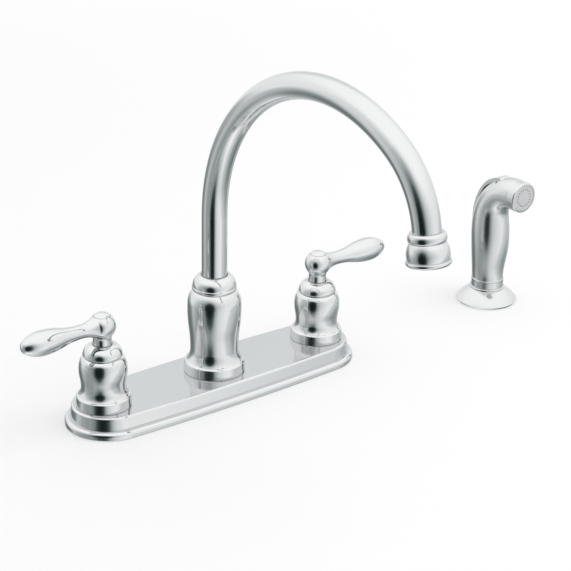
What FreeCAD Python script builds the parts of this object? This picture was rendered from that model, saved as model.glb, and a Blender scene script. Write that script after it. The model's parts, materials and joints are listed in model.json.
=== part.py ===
"""Two-handle kitchen faucet with a high-arc swivel spout, a deck plate and a side spray.

Millimetres, +Z up. The origin is on the sink deck, under the spout's swivel axis.
+X runs along the deck plate to the cold side and the spray, -Y points at the user.
"""
import FreeCAD, Part
import math
import os
from types import SimpleNamespace

import Sketcher

SIZES = {
    # Deck plate
    "valve_spacing": 203.2,
    "deck_overhang": 28.9,
    "deck_side_crown": 2.5,
    "deck_width": 72.0,
    "deck_height": 16.0,
    "deck_foot_height": 5.8,
    "deck_step": 4.3,
    "deck_fascia_lean": 0.8,
    "deck_top_round": 1.6,
    "deck_foot_round": 0.6,
    "deck_shoulder_round": 2.9,
    "deck_wall": 2.2,
    "gasket_thickness": 1.5,
    "gasket_margin": 1.0,
    "gasket_centre_radius": 12.0,
    # Clearances
    "running_gap": 0.05,
    "seat_gap": 0.3,
    "swing_gap": 0.4,
    "cut_overrun": 2.0,
    "edge_tolerance": 0.0001,
    # Valve bodies under the handles
    "shank_radius": 10.4,
    "shank_length": 52.0,
    "shank_thread_length": 34.0,
    "shank_relief": 0.6,
    "waterway_radius": 6.0,
    "valve_flange_radius": 16.0,
    "valve_flange_height": 5.0,
    "valve_barrel_radius": 12.6,
    "valve_barrel_top": 40.0,
    "cavity_radius": 9.5,
    "cavity_floor": 14.0,
    "port_lift": 2.0,
    "valve_port_reach": 18.0,
    "post_port_reach": 20.0,
    "crossover_step": 1.0,
    "crossover_wall": 1.0,
    # Cartridges
    "seal_thickness": 2.0,
    "seal_radius": 8.4,
    "seal_bore": 5.0,
    "disc_thickness": 3.0,
    "disc_radius": 8.6,
    "disc_port_radius": 2.2,
    "disc_port_offset": 4.6,
    "shell_wall": 0.6,
    "shell_ceiling": 26.9,
    "shell_neck_radius": 8.6,
    "shell_neck_length": 7.0,
    "stem_foot_height": 4.5,
    "stem_radius": 5.0,
    "spline_radius": 4.0,
    "ring_groove_depth": 1.0,
    "ring_width": 1.8,
    "stem_ring_depth": 9.0,
    "cartridge_nut_height": 6.0,
    # Handle bonnets and their collars
    "bonnet_ring_radius": 20.9,
    "bonnet_ring_top": 24.8,
    "ring_lean": 0.5,
    "bonnet_waist_radius": 16.8,
    "bonnet_waist_height": 31.0,
    "bonnet_belly_radius": 18.2,
    "bonnet_belly_drop": 10.7,
    "bonnet_groove_radius": 14.0,
    "shell_gap": 1.0,
    "bonnet_clearance": 0.7,
    "bonnet_roof": 5.0,
    "collar_wall": 1.75,
    "collar_radius": 14.8,
    "collar_belly_height": 2.2,
    "collar_height": 9.2,
    "collar_lip": 1.0,
    "collar_spigot_depth": 8.0,
    # Lever handles
    "neck_radius": 7.0,
    "neck_depth": 5.2,
    "neck_gap": 0.5,
    "ball_radius": 10.4,
    "neck_fillet": 5.0,
    "ball_height": 14.6,
    "lever_waist_radius": 5.3,
    "lever_belly_radius": 9.5,
    "lever_tip_reach": 68.2,
    "lever_tip_radius": 6.0,
    "screw_seat_rise": 0.2,
    "lever_web": 5.0,
    "screw_radius": 1.9,
    "screw_head_radius": 3.6,
    "screw_head_height": 2.6,
    "screw_depth": 10.0,
    "cap_radius": 6.3,
    "cap_gap": 0.2,
    "cap_base_gap": 1.9,
    "cap_rise": 0.4,
    # Spout post, hub and collar
    "post_flange_radius": 17.0,
    "post_radius": 13.6,
    "post_top": 74.0,
    "post_wall": 2.3,
    "post_floor": 16.0,
    "nipple_radius": 6.85,
    "nipple_length": 28.0,
    "nipple_bore": 3.6,
    "hub_ring_radius": 23.8,
    "hub_ring_top": 25.4,
    "hub_waist_radius": 18.7,
    "hub_waist_height": 34.5,
    "hub_belly_radius": 20.9,
    "hub_belly_drop": 15.5,
    "hub_lip": 0.9,
    "post_recess": 9.5,
    "nut_wall": 1.55,
    "nut_skirt_depth": 21.5,
    "nut_play": 1.0,
    "nut_bead_rise": 0.4,
    "nut_bead_belly": 3.4,
    "nut_bead_height": 12.1,
    "nut_lip": 1.0,
    "bearing_thickness": 1.0,
    # Spout
    "shank_clearance": 6.5,
    "flange_setback": 0.4,
    "flange_thickness": 3.95,
    "spigot_wall": 1.55,
    "spigot_length": 14.0,
    "spout_ring_lower": 10.0,
    "spout_ring_upper": 20.0,
    "spout_ring_depth": 1.6,
    "tube_radius": 9.8,
    "tube_wall": 1.2,
    "riser_length": 64.3,
    "arc_radius": 131.0,
    "tip_arc_radius": 69.0,
    # Aerator
    "aerator_socket": 6.0,
    "aerator_neck_radius": 11.6,
    "aerator_bead_radius": 13.1,
    "aerator_bead_height": 6.6,
    "aerator_groove_radius": 12.2,
    "aerator_bell_radius": 14.2,
    "aerator_bell_length": 12.0,
    "aerator_lip_radius": 14.9,
    "aerator_lip_height": 3.2,
    "aerator_bore": 11.2,
    "aerator_washer_thickness": 1.8,
    "aerator_insert_height": 9.0,
    "aerator_hole_radius": 0.9,
    "aerator_hole_ring": 6.2,
    # Diverter in the spout post
    "seat_thickness": 3.0,
    "seat_bore": 5.0,
    "poppet_radius": 8.4,
    "poppet_height": 4.0,
    "poppet_stem_depth": 2.4,
    "poppet_lift": 0.5,
    # Mounting hardware under the sink deck
    "sink_thickness": 8.0,
    "washer_radius": 22.0,
    "washer_thickness": 2.0,
    "wing_nut_radius": 17.0,
    "wing_nut_height": 14.0,
    "wing_span": 58.0,
    "wing_width": 7.0,
    "wing_height": 9.0,
    # Side spray holder
    "spray_offset": 293.0,
    "holder_radius": 26.2,
    "holder_rim": 1.6,
    "holder_crease_radius": 15.1,
    "holder_crease_height": 11.0,
    "holder_lip": 2.3,
    "holder_top": 13.6,
    "holder_gap": 0.5,
    "holder_wall": 1.3,
    "holder_shank_length": 42.0,
    "holder_pad_thickness": 1.2,
    "holder_pad_radius": 23.0,
    "holder_nut_radius": 20.0,
    "holder_nut_height": 12.0,
    # Spray head
    "ferrule_wall": 2.3,
    "ferrule_gap": 0.2,
    "ferrule_height": 7.4,
    "hose_spigot_radius": 11.4,
    "hose_spigot_length": 14.0,
    "hose_end_radius": 5.5,
    "hose_end_length": 16.0,
    "hose_bore": 3.0,
    "grip_step": 0.4,
    "grip_lower_radius": 14.9,
    "grip_lower_height": 38.0,
    "grip_belly_radius": 16.4,
    "grip_belly_height": 60.0,
    "grip_upper_radius": 14.9,
    "grip_upper_height": 81.0,
    "grip_upper_shift": 0.3,
    "crook_radius": 13.6,
    "crook_height": 94.2,
    "crook_shift": 5.0,
    "head_root_radius": 13.4,
    "head_root_height": 102.4,
    "head_root_shift": 15.2,
    "head_height": 104.5,
    "head_radius": 13.1,
    "head_length": 29.0,
    "nozzle_length": 8.0,
    "nozzle_round": 1.6,
    "nozzle_wall": 2.1,
    "face_depth": 5.0,
    "face_recess": 0.3,
    "jet_radius": 0.5,
    "jet_ring": 7.2,
    # Trigger in the back of the spray head
    "trigger_width": 11.0,
    "trigger_thickness": 2.6,
    "trigger_pivot_shift": 11.0,
    "trigger_pivot_height": 112.6,
    "trigger_knuckle": 3.2,
    "trigger_pin_radius": 1.2,
    "trigger_pin_length": 15.6,
    "trigger_bend_shift": 7.4,
    "trigger_bend_height": 104.6,
    "trigger_foot_shift": 17.4,
    "trigger_foot_height": 70.0,
    "slot_root_shift": 15.6,
    "slot_root_height": 107.6,
    "slot_bend_shift": 2.6,
    "slot_bend_height": 99.4,
    "slot_foot_shift": 9.2,
    "slot_foot_height": 65.5,
    "plunger_radius": 2.0,
    "plunger_height": 89.0,
    "plunger_setback": 3.8,
    "plunger_length": 11.0,
    "plunger_stroke": 3.5,
}

# Bows are the rise of an arc as a share of its chord, positive to the left of travel.
RING_BOW_SHARE = 0.12
QUARTER_BOW_SHARE = math.tan(math.pi / 8) / 2
# Round of a base ring's top edge, as a share of the ring's ledge.
RING_EDGE_SHARE = 1 / 3
DOME_BOW_SHARE = 0.16
BEAD_BOW_SHARE = 0.22
BELL_BOW_SHARE = 0.1
# Turn of a bell's shoulder over that of a single arc, and its round as a share of the largest that fits.
BONNET_SHOULDER_SHARES = (1.5, 0.8)
HUB_SHOULDER_SHARES = (1.34, 0.97)
# Places of the lever's waist and belly along its reach.
LEVER_WAIST_SHARE = 0.279
LEVER_BELLY_SHARE = 0.748
# Place of the lever's root inside the ball, along and across the arm.
ROOT_REACH_SHARE = 0.48
ROOT_RISE_SHARE = 0.856
SKIRT_BOW_SHARE = 0.06
TRIGGER_BOW_SHARE = 0.09

# The main arc of the spout ends here and the tip arc goes on to the outlet, in degrees above level.
ARC_END_ANGLE = 57.0
OUTLET_ANGLE = 9.0
# Lean of the spray's sections, from level at the grip to upright at the nozzle.
GRIP_UPPER_LEAN = 8.0
CROOK_LEAN = 40.0
HEAD_ROOT_LEAN = 72.0
UPRIGHT = 90.0
FULL_TURN = 360.0
JET_COUNT = 18
AERATOR_HOLE_COUNT = 8
HEX_SIDES = 6
SIDES = (("hot", -1), ("cold", 1))

doc = FreeCAD.newDocument("kitchen_faucet")
sheet = doc.addObject("Spreadsheet::Sheet", "sizes")


class Size:
    """A length that knows its value and the sheet expression that gives it."""

    def __init__(self, text, value):
        self.text = text
        self.value = value

    def __add__(self, other):
        return Size(f"({self.text} + {text_of(other)})", self.value + value_of(other))

    def __sub__(self, other):
        return Size(f"({self.text} - {text_of(other)})", self.value - value_of(other))

    def __mul__(self, share):
        return Size(f"({self.text} * {text_of(share)})", self.value * value_of(share))

    def __truediv__(self, share):
        return Size(f"({self.text} / {text_of(share)})", self.value / value_of(share))

    def __neg__(self):
        return Size(f"(-1 * {self.text})", -self.value)


def text_of(length):
    return length.text if isinstance(length, Size) else repr(float(length))


def value_of(length):
    return length.value if isinstance(length, Size) else float(length)


def span(start, end):
    """Straight distance between two corners."""
    across = text_of(end[0]) + " - " + text_of(start[0])
    along = text_of(end[1]) + " - " + text_of(start[1])
    value = math.hypot(value_of(end[0]) - value_of(start[0]), value_of(end[1]) - value_of(start[1]))
    return Size(f"sqrt(({across})^2 + ({along})^2)", value)


def write_sheet():
    """Put every driving dimension in the sheet and hand back its named lengths."""
    for row, (alias, value) in enumerate(SIZES.items(), start=1):
        sheet.set(f"A{row}", alias)
        sheet.set(f"B{row}", str(value))
        sheet.setAlias(f"B{row}", alias)
    doc.recompute()
    return SimpleNamespace(**{alias: Size("sizes." + alias, value) for alias, value in SIZES.items()})


dim = write_sheet()
ZERO = 0
SUB_PARTS = []


# Drawing helpers
def new_body(name, x=ZERO, y=ZERO, z=ZERO, lean=ZERO):
    """A sub-part's body, carried to its place and leaned about X."""
    body = doc.addObject("PartDesign::Body", name)
    body.Label = name
    turn = FreeCAD.Rotation(FreeCAD.Vector(1, 0, 0), lean)
    place = FreeCAD.Vector(value_of(x), value_of(y), value_of(z))
    body.Placement = FreeCAD.Placement(place, turn)
    for axis, length in (("x", x), ("y", y), ("z", z)):
        if isinstance(length, Size):
            body.setExpression(f"Placement.Base.{axis}", length.text)
    SUB_PARTS.append(body)
    return body


def new_sketch(body, role, offset=(ZERO, ZERO, ZERO), lean=ZERO):
    """A sketch on one of the body's own planes, moved within that plane's frame."""
    sketch = body.newObject("Sketcher::SketchObject", body.Name + "_sketch")
    plane = [item for item in body.Origin.OriginFeatures if item.Role == role][0]
    sketch.AttachmentSupport = [(plane, "")]
    sketch.MapMode = "FlatFace"
    place = FreeCAD.Vector(*[value_of(length) for length in offset])
    turn = FreeCAD.Rotation(FreeCAD.Vector(1, 0, 0), lean)
    sketch.AttachmentOffset = FreeCAD.Placement(place, turn)
    for axis, length in zip("xyz", offset):
        if isinstance(length, Size):
            sketch.setExpression(f"AttachmentOffset.Base.{axis}", length.text)
    return sketch


def bind(sketch, kind, reference, length):
    """Constrain one measure of a sketch to a length."""
    index = sketch.addConstraint(Sketcher.Constraint(kind, *reference, value_of(length)))
    if isinstance(length, Size):
        sketch.setExpression(f"Constraints[{index}]", length.text)


def draw_edge(sketch, start, end, bow):
    """One edge of an outline: a line, or an arc that rises by bow times its chord."""
    first = FreeCAD.Vector(value_of(start[0]), value_of(start[1]), 0)
    last = FreeCAD.Vector(value_of(end[0]), value_of(end[1]), 0)
    if not bow:
        return sketch.addGeometry(Part.LineSegment(first, last)), 1, 2
    chord = last - first
    left = FreeCAD.Vector(-chord.y, chord.x, 0)
    middle = (first + last) * 0.5 + left * bow
    edge = sketch.addGeometry(Part.Arc(first, middle, last))
    if sketch.getPoint(edge, 1).distanceToPoint(first) < sketch.getPoint(edge, 2).distanceToPoint(first):
        return edge, 1, 2
    return edge, 2, 1


def draw_path(sketch, corners, closed):
    """Chain edges through corners; a corner's third entry bows the edge that leaves it."""
    ring = list(corners) + ([corners[0]] if closed else [])
    edges = []
    for start, end in zip(ring, ring[1:]):
        bow = start[2] if len(start) > 2 else ZERO
        edges.append((draw_edge(sketch, start, end, bow), start, end, bow))
    following = edges[1:] + (edges[:1] if closed else [])
    for (edge, after) in zip(edges, following):
        joint = Sketcher.Constraint("Coincident", edge[0][0], edge[0][2], after[0][0], after[0][1])
        sketch.addConstraint(joint)
    for (number, head, tail), start, end, bow in edges:
        bind(sketch, "DistanceX", (-1, 1, number, head), start[0])
        bind(sketch, "DistanceY", (-1, 1, number, head), start[1])
        if bow:
            bind(sketch, "Radius", (number,), span(start, end) * ((0.25 + bow * bow) / (2 * abs(bow))))
    if not closed:
        (number, head, tail), start, end, bow = edges[-1]
        bind(sketch, "DistanceX", (-1, 1, number, tail), end[0])
        bind(sketch, "DistanceY", (-1, 1, number, tail), end[1])
    return sketch


def draw_circle(sketch, radius, x=ZERO, y=ZERO):
    centre = FreeCAD.Vector(value_of(x), value_of(y), 0)
    circle = sketch.addGeometry(Part.Circle(centre, FreeCAD.Vector(0, 0, 1), value_of(radius)))
    bind(sketch, "DistanceX", (-1, 1, circle, 3), x)
    bind(sketch, "DistanceY", (-1, 1, circle, 3), y)
    bind(sketch, "Radius", (circle,), radius)
    return sketch


def smooth_bow(run, rise):
    """Bow of an arc that leaves one end level and climbs by rise over run."""
    return math.tan(math.atan(value_of(rise) / value_of(run)) / 2) / 2


def turn(body, corners, kind="PartDesign::Revolution", axis="V_Axis", offset=(ZERO, ZERO, ZERO)):
    """Add or cut a full turn of an outline about one axis of its upright sketch."""
    sketch = draw_path(new_sketch(body, "XZ_Plane", offset), corners, closed=True)
    feature = body.newObject(kind, body.Name + "_turn")
    feature.Profile = sketch
    feature.ReferenceAxis = (sketch, [axis])
    feature.Angle = FULL_TURN
    return feature


def cut_turn(body, corners, offset=(ZERO, ZERO, ZERO)):
    return turn(body, corners, kind="PartDesign::Groove", offset=offset)


def pad(body, sketch, length, both_ways=False):
    feature = body.newObject("PartDesign::Pad", body.Name + "_pad")
    feature.Profile = sketch
    feature.Length = value_of(length)
    feature.setExpression("Length", length.text)
    feature.Midplane = both_ways
    return feature


def pocket(body, sketch, length, upward):
    """Cut a sketch's outline along +Z of its plane, or against it."""
    feature = body.newObject("PartDesign::Pocket", body.Name + "_pocket")
    feature.Profile = sketch
    feature.Length = value_of(length)
    feature.setExpression("Length", length.text)
    feature.Reversed = upward
    return feature


def ring_corners(inner, outer, bottom, top):
    return [(inner, bottom), (outer, bottom), (outer, top), (inner, top)]


def turned_ring(name, inner, outer, bottom, top, **place):
    """A plain washer, sleeve or disc."""
    body = new_body(name, **place)
    turn(body, ring_corners(inner, outer, bottom, top))
    return body


def loft(body, sections):
    feature = body.newObject("PartDesign::AdditiveLoft", body.Name + "_loft")
    feature.Profile = sections[0]
    feature.Sections = sections[1:]
    return feature


# Deck plate
valve_reach = dim.valve_spacing / 2
deck_end_radius = dim.deck_width / 2 - dim.deck_side_crown
deck_end_place = valve_reach + dim.deck_overhang - deck_end_radius
port_height = (dim.deck_height - dim.deck_wall - dim.seat_gap + dim.gasket_thickness + dim.port_lift) / 2
port_radius = port_height - dim.gasket_thickness - dim.port_lift
crossover_radius = port_radius - dim.crossover_step


def deck_outline(body, inset, height):
    """Two round ends joined by two slightly bowed sides, drawn in from the foot's outline."""
    end_radius = deck_end_radius - inset
    crown = dim.deck_width / 2 - inset
    sketch = new_sketch(body, "XY_Plane", (ZERO, ZERO, height))
    lean = 2 * math.atan(dim.deck_side_crown.value / deck_end_place.value)
    across_share = math.sin(lean)
    along_share = math.cos(lean)
    side_x = deck_end_place + end_radius * across_share
    side_y = end_radius * along_share
    tips = {
        "left_front": (-side_x, -side_y),
        "front": (ZERO, -crown),
        "right_front": (side_x, -side_y),
        "right": (deck_end_place + end_radius, ZERO),
        "right_back": (side_x, side_y),
        "back": (ZERO, crown),
        "left_back": (-side_x, side_y),
        "left": (-(deck_end_place + end_radius), ZERO),
    }
    side_radius = deck_side_radius() - inset
    order = list(tips)
    edges = []
    for start, end in zip(order, order[1:] + order[:1]):
        radius = end_radius if "left" in (start, end) or "right" in (start, end) else side_radius
        edges.append((tips[start], tips[end], radius))
    draw_arcs(sketch, edges)
    return sketch


def deck_side_radius():
    """Radius of the bowed side that meets both round ends smoothly."""
    crown = dim.deck_width / 2
    reach = deck_end_place
    end = deck_end_radius
    rise = dim.deck_side_crown
    value = (reach.value ** 2 + crown.value ** 2 - end.value ** 2) / (2 * rise.value)
    return Size(f"(({reach.text}^2 + {crown.text}^2 - {end.text}^2) / (2 * {rise.text}))", value)


def draw_arcs(sketch, edges):
    """A closed counter-clockwise chain of arcs, each given by its ends and its radius."""
    numbers = []
    for start, end, radius in edges:
        first = FreeCAD.Vector(value_of(start[0]), value_of(start[1]), 0)
        last = FreeCAD.Vector(value_of(end[0]), value_of(end[1]), 0)
        chord = last - first
        half = chord.Length / 2
        rise = value_of(radius) - math.sqrt(value_of(radius) ** 2 - half ** 2)
        right = FreeCAD.Vector(chord.y, -chord.x, 0).normalize()
        numbers.append(sketch.addGeometry(Part.Arc(first, (first + last) * 0.5 + right * rise, last)))
    for number, after in zip(numbers, numbers[1:] + numbers[:1]):
        sketch.addConstraint(Sketcher.Constraint("Coincident", number, 2, after, 1))
    for number, (start, end, radius) in zip(numbers, edges):
        bind(sketch, "DistanceX", (-1, 1, number, 1), start[0])
        bind(sketch, "DistanceY", (-1, 1, number, 1), start[1])
        bind(sketch, "Radius", (number,), radius)


def level_edges(shape, height):
    """Names of the edges that lie level at a height."""
    names = []
    for number, edge in enumerate(shape.Edges, start=1):
        ends = (edge.BoundBox.ZMin, edge.BoundBox.ZMax)
        if all(abs(end - value_of(height)) < dim.edge_tolerance.value for end in ends):
            names.append(f"Edge{number}")
    return names


def round_edges(body, base, height, radius):
    doc.recompute()
    feature = body.newObject("PartDesign::Fillet", body.Name + "_round")
    feature.Base = (base, level_edges(base.Shape, height))
    feature.Radius = value_of(radius)
    feature.setExpression("Radius", radius.text)
    return feature


def drill_deck(body, height, length, valve_hole, post_hole):
    """Holes for the two valves and the spout post, cut upwards from a height."""
    for x, radius in ((-valve_reach, valve_hole), (ZERO, post_hole), (valve_reach, valve_hole)):
        sketch = draw_circle(new_sketch(body, "XY_Plane", (ZERO, ZERO, height)), radius, x)
        pocket(body, sketch, length, upward=True)


def make_deck():
    """A cast shell, open below, with a rounded foot and a leaning fascia under the flat top."""
    body = new_body("deck_plate")
    foot = pad(body, deck_outline(body, ZERO, ZERO), dim.deck_foot_height)
    foot = round_edges(body, foot, ZERO, dim.deck_foot_round)
    foot = round_edges(body, foot, dim.deck_foot_height, dim.deck_shoulder_round)
    fascia_foot = dim.deck_step
    fascia_top = dim.deck_step + dim.deck_fascia_lean
    upper = loft(body, [deck_outline(body, fascia_foot, dim.deck_foot_height),
                        deck_outline(body, fascia_top, dim.deck_height)])
    round_edges(body, upper, dim.deck_height, dim.deck_top_round)
    inside = fascia_top + dim.deck_wall
    hollow = dim.deck_height - dim.deck_wall + dim.cut_overrun
    pocket(body, deck_outline(body, inside, -dim.cut_overrun), hollow, upward=True)
    drill_deck(body, ZERO, dim.deck_height + dim.cut_overrun,
               dim.valve_barrel_radius + dim.swing_gap, dim.post_radius + dim.swing_gap)

    pad_body = new_body("deck_gasket")
    pad(pad_body, deck_outline(pad_body, inside + dim.gasket_margin, ZERO), dim.gasket_thickness)
    drill_deck(pad_body, ZERO, dim.gasket_thickness, dim.shank_radius + dim.swing_gap,
               dim.gasket_centre_radius)


# Valves and cartridges
def add_port(body, reach, direction):
    """A short round boss that a crossover tube is brazed to."""
    sketch = draw_circle(new_sketch(body, "YZ_Plane"), port_radius, ZERO, port_height)
    boss = pad(body, sketch, reach)
    boss.Reversed = direction < 0
    return boss


def make_valve_body(side, sign):
    body = new_body(f"{side}_valve_body", x=valve_reach * sign)
    flange_foot = dim.gasket_thickness
    flange_top = flange_foot + dim.valve_flange_height
    relief_top = -dim.shank_thread_length
    relief_foot = relief_top - dim.shank_relief
    turn(body, [
        (ZERO, -dim.shank_length), (dim.shank_radius, -dim.shank_length),
        (dim.shank_radius, relief_foot), (dim.shank_radius - dim.shank_relief, relief_foot),
        (dim.shank_radius - dim.shank_relief, relief_top), (dim.shank_radius, relief_top),
        (dim.shank_radius, flange_foot), (dim.valve_flange_radius, flange_foot),
        (dim.valve_flange_radius, flange_top), (dim.valve_barrel_radius, flange_top),
        (dim.valve_barrel_radius, dim.valve_barrel_top), (ZERO, dim.valve_barrel_top),
    ])
    add_port(body, dim.valve_port_reach, -sign)
    cut_turn(body, [
        (ZERO, -dim.shank_length - dim.cut_overrun),
        (dim.waterway_radius, -dim.shank_length - dim.cut_overrun),
        (dim.waterway_radius, dim.cavity_floor), (dim.cavity_radius, dim.cavity_floor),
        (dim.cavity_radius, dim.valve_barrel_top + dim.cut_overrun),
        (ZERO, dim.valve_barrel_top + dim.cut_overrun),
    ])
    sketch = new_sketch(body, "YZ_Plane")
    draw_circle(sketch, crossover_radius - dim.crossover_wall, ZERO, port_height)
    drilling = pocket(body, sketch, dim.valve_port_reach, upward=False)
    drilling.Reversed = sign < 0


def make_crossover(side, sign):
    """Tube under the plate from a valve's boss to the spout post's boss."""
    body = new_body(f"{side}_crossover_tube", x=dim.post_port_reach * sign)
    sketch = draw_circle(new_sketch(body, "YZ_Plane"), crossover_radius, ZERO, port_height)
    draw_circle(sketch, crossover_radius - dim.crossover_wall, ZERO, port_height)
    tube = pad(body, sketch, valve_reach - dim.post_port_reach - dim.valve_port_reach)
    tube.Reversed = sign < 0


disc_foot = dim.cavity_floor + dim.seal_thickness
turning_foot = disc_foot + dim.disc_thickness + dim.running_gap
stem_foot = turning_foot + dim.disc_thickness
shell_radius = dim.cavity_radius - dim.running_gap
shell_inside = shell_radius - dim.shell_wall
stem_bore = dim.stem_radius + dim.running_gap
shell_top = dim.valve_barrel_top + dim.shell_neck_length
stem_ring_foot = shell_top - dim.stem_ring_depth
bonnet_bore = dim.valve_barrel_radius + dim.bonnet_clearance
bonnet_top = shell_top + dim.shell_gap + dim.collar_spigot_depth
collar_throat = dim.neck_radius + dim.swing_gap
collar_spigot = collar_throat + dim.collar_wall
bonnet_throat = collar_spigot + dim.running_gap
collar_top = bonnet_top + dim.collar_height
neck_base = collar_top - dim.neck_depth
stem_shoulder = neck_base - dim.neck_gap
ball_centre = collar_top + dim.ball_height
screw_seat = ball_centre + dim.screw_seat_rise
stem_tip = screw_seat - dim.lever_web


def drill_disc(body, foot):
    """Two water ports, opposite each other, through a ceramic disc."""
    sketch = new_sketch(body, "XY_Plane", (ZERO, ZERO, foot))
    draw_circle(sketch, dim.disc_port_radius, dim.disc_port_offset)
    draw_circle(sketch, dim.disc_port_radius, -dim.disc_port_offset)
    pocket(body, sketch, dim.disc_thickness, upward=True)


def make_cartridge(side, sign):
    place = {"x": valve_reach * sign}
    turned_ring(f"{side}_disc_seal", dim.seal_bore, dim.seal_radius, dim.cavity_floor, disc_foot, **place)
    fixed = turned_ring(f"{side}_fixed_disc", ZERO, dim.disc_radius, disc_foot,
                        disc_foot + dim.disc_thickness, **place)
    drill_disc(fixed, disc_foot)
    turning_radius = dim.disc_radius - dim.seat_gap
    turning = turned_ring(f"{side}_turning_disc", ZERO, turning_radius, turning_foot, stem_foot, **place)
    drill_disc(turning, turning_foot)

    shell = new_body(f"{side}_cartridge_shell", **place)
    turn(shell, [
        (shell_inside, dim.cavity_floor), (shell_radius, dim.cavity_floor),
        (shell_radius, dim.valve_barrel_top), (dim.shell_neck_radius, dim.valve_barrel_top),
        (dim.shell_neck_radius, shell_top), (stem_bore, shell_top),
        (stem_bore, dim.shell_ceiling), (shell_inside, dim.shell_ceiling),
    ])

    stem = new_body(f"{side}_stem", **place)
    groove_radius = dim.stem_radius - dim.ring_groove_depth
    groove_top = stem_ring_foot + dim.ring_width
    screw_hole = dim.screw_radius + dim.running_gap
    screw_floor = screw_seat - dim.screw_depth - dim.cut_overrun
    turn(stem, [
        (ZERO, stem_foot), (turning_radius, stem_foot),
        (turning_radius, stem_foot + dim.stem_foot_height),
        (dim.stem_radius, stem_foot + dim.stem_foot_height),
        (dim.stem_radius, stem_ring_foot), (groove_radius, stem_ring_foot),
        (groove_radius, groove_top), (dim.stem_radius, groove_top),
        (dim.stem_radius, stem_shoulder), (dim.spline_radius, stem_shoulder),
        (dim.spline_radius, stem_tip), (screw_hole, stem_tip),
        (screw_hole, screw_floor), (ZERO, screw_floor),
    ])
    turned_ring(f"{side}_stem_o_ring", groove_radius, dim.stem_radius + dim.running_gap / 2,
                stem_ring_foot, groove_top, **place)

    nut = new_body(f"{side}_cartridge_nut", **place)
    corner = dim.valve_barrel_radius
    angles = [2 * math.pi * step / HEX_SIDES for step in range(HEX_SIDES)]
    sketch = new_sketch(nut, "XY_Plane", (ZERO, ZERO, dim.valve_barrel_top))
    draw_path(sketch, [(corner * math.cos(angle), corner * math.sin(angle)) for angle in angles], closed=True)
    draw_circle(sketch, dim.shell_neck_radius + dim.running_gap)
    pad(nut, sketch, dim.cartridge_nut_height)


# Handle trim
def bell_corners(ring_radius, ring_top, waist, belly, shoulder_shares, groove_radius, top, bore):
    """Half section of a trim bell: leaning base ring, cove, waist, belly and round shoulder."""
    waist_radius, waist_height = waist
    belly_radius, belly_drop = belly
    turn_share, round_share = shoulder_shares
    ring_edge = (ring_radius - waist_radius) * RING_EDGE_SHARE
    belly_height = top - belly_drop
    inset = belly_radius - groove_radius
    end_angle = math.atan(inset.value / belly_drop.value) * 2 * turn_share
    round_radius = inset * (round_share / (1 - math.cos(end_angle)))
    round_height = top - round_radius * math.sin(end_angle)
    lift = (round_height - belly_height).value
    depth = (inset + round_radius * math.cos(end_angle)).value
    flank = (depth ** 2 + lift ** 2 - round_radius.value ** 2) / (2 * (depth - round_radius.value))
    meeting_angle = math.asin(lift / (flank - round_radius.value))
    meeting = (groove_radius + round_radius * (math.cos(meeting_angle) - math.cos(end_angle)),
               round_height + round_radius * math.sin(meeting_angle))
    flank_bow = math.tan(meeting_angle / 4) / 2
    round_bow = math.tan((end_angle - meeting_angle) / 4) / 2
    sway_bow = smooth_bow(belly_height - waist_height, belly_radius - waist_radius)
    rim_radius = ring_radius - dim.ring_lean
    cove_bow = smooth_bow(waist_height - ring_top, rim_radius - ring_edge - waist_radius)
    return [
        (bore, dim.deck_height), (ring_radius - ring_edge / 2, dim.deck_height),
        (ring_radius, dim.deck_height + ring_edge / 2), (rim_radius, ring_top - ring_edge, -RING_BOW_SHARE),
        (rim_radius - ring_edge, ring_top, cove_bow), (waist_radius, waist_height, sway_bow),
        ((waist_radius + belly_radius) / 2, (waist_height + belly_height) / 2, -sway_bow),
        (belly_radius, belly_height, -flank_bow), (*meeting, -round_bow), (groove_radius, top), (bore, top),
    ]


def make_bonnet(side, sign):
    place = {"x": valve_reach * sign}
    bonnet = new_body(f"{side}_bonnet", **place)
    turn(bonnet, bell_corners(
        dim.bonnet_ring_radius, dim.bonnet_ring_top,
        (dim.bonnet_waist_radius, dim.bonnet_waist_height),
        (dim.bonnet_belly_radius, dim.bonnet_belly_drop), BONNET_SHOULDER_SHARES,
        dim.bonnet_groove_radius, bonnet_top, bonnet_throat))
    roof = bonnet_top - dim.bonnet_roof
    cut_turn(bonnet, ring_corners(ZERO, bonnet_bore, dim.deck_height - dim.cut_overrun, roof))

    collar = new_body(f"{side}_bonnet_nut", **place)
    spigot_foot = bonnet_top - dim.collar_spigot_depth
    belly = bonnet_top + dim.collar_belly_height
    turn(collar, [
        (collar_throat, spigot_foot), (collar_spigot, spigot_foot), (collar_spigot, bonnet_top),
        (dim.bonnet_groove_radius, bonnet_top, -BEAD_BOW_SHARE),
        (dim.collar_radius, belly, -DOME_BOW_SHARE),
        (collar_throat + dim.collar_lip, collar_top),
        (collar_throat, collar_top),
    ])


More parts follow.
